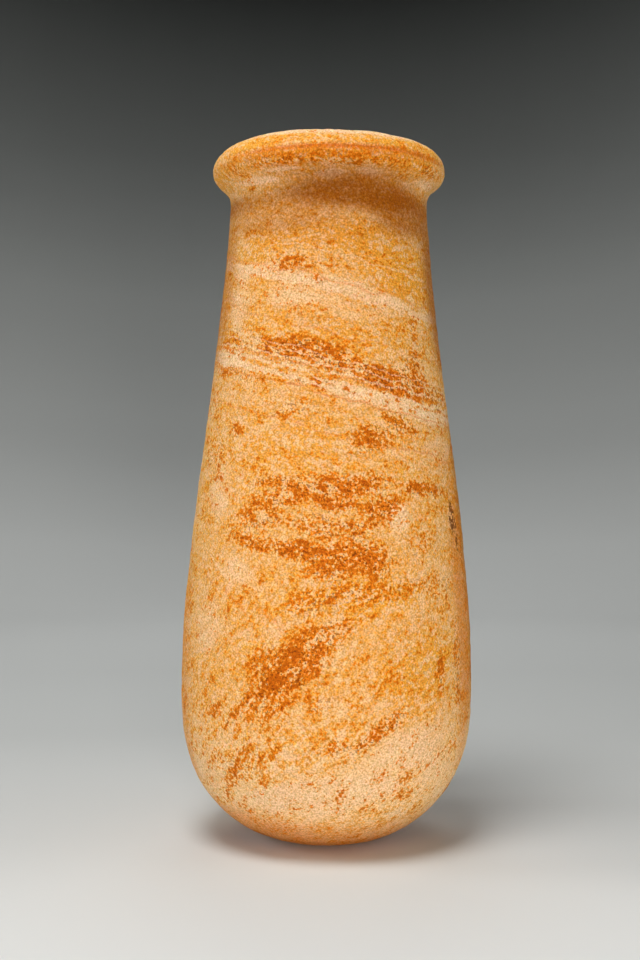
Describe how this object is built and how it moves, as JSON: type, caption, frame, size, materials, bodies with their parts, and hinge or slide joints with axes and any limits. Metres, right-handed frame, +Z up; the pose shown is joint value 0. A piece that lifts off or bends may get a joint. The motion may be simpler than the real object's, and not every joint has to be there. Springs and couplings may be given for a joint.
{
  "type": "lidless canopic jar",
  "caption": "Tall drop-shaped stone jar, hollow and open at the top, with a small flat base, a full bowl, a tapering wall and a thick rolled lip, for storing or showing.",
  "frame": {"origin": "middle of the flat base, on the surface that the jar stands on", "axes": "+Z up along the jar's height; -Y is the side that the picture shows, and +X is to its right"},
  "size_m": [0.1277, 0.1276, 0.3],
  "materials": {
    "banded_calcite": "matte"
  },
  "bodies": {
    "root": {"jar": "banded_calcite"}
  },
  "joints": []
}
